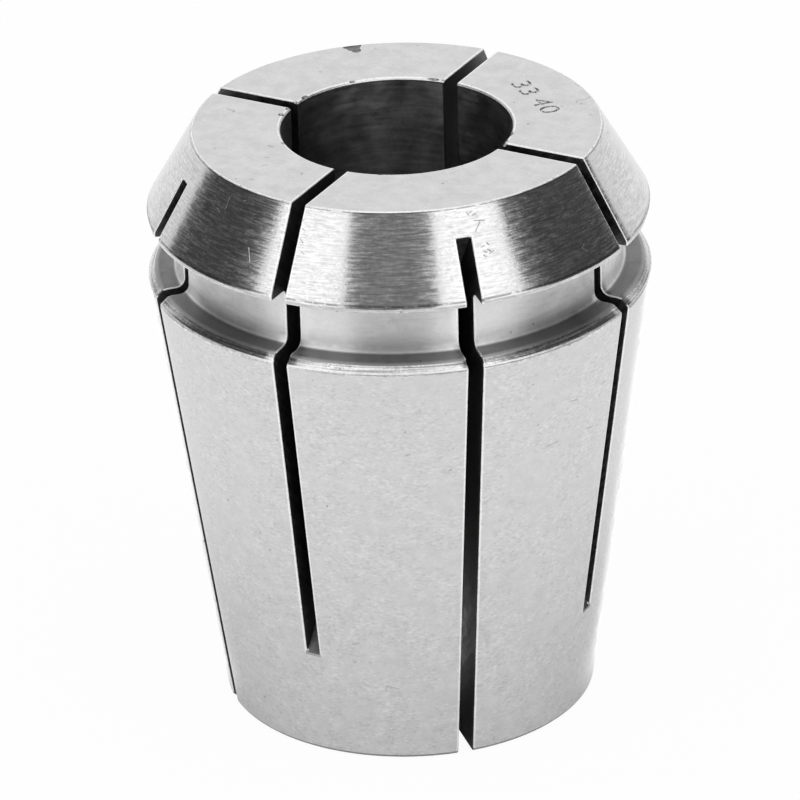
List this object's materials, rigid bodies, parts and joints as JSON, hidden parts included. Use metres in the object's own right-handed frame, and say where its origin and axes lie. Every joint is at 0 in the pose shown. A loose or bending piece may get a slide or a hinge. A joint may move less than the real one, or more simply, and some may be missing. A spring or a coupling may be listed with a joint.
{
  "type": "spring collet",
  "caption": "Slotted spring collet with a tapered body, a nut groove, a conical nose, a round shank bore and a square drive socket.",
  "frame": {"origin": "centre of the rear face, the small end on which the collet stands", "axes": "+Z along the bore axis towards the nose, +X and +Y through slots cut from the front"},
  "size_m": [0.0328, 0.0328, 0.04],
  "materials": {
    "ground_steel": "ground and turned hardened steel, satin on the face and the taper, brighter on the nose cone"
  },
  "bodies": {
    "root": {"collet": "ground_steel"}
  },
  "joints": []
}
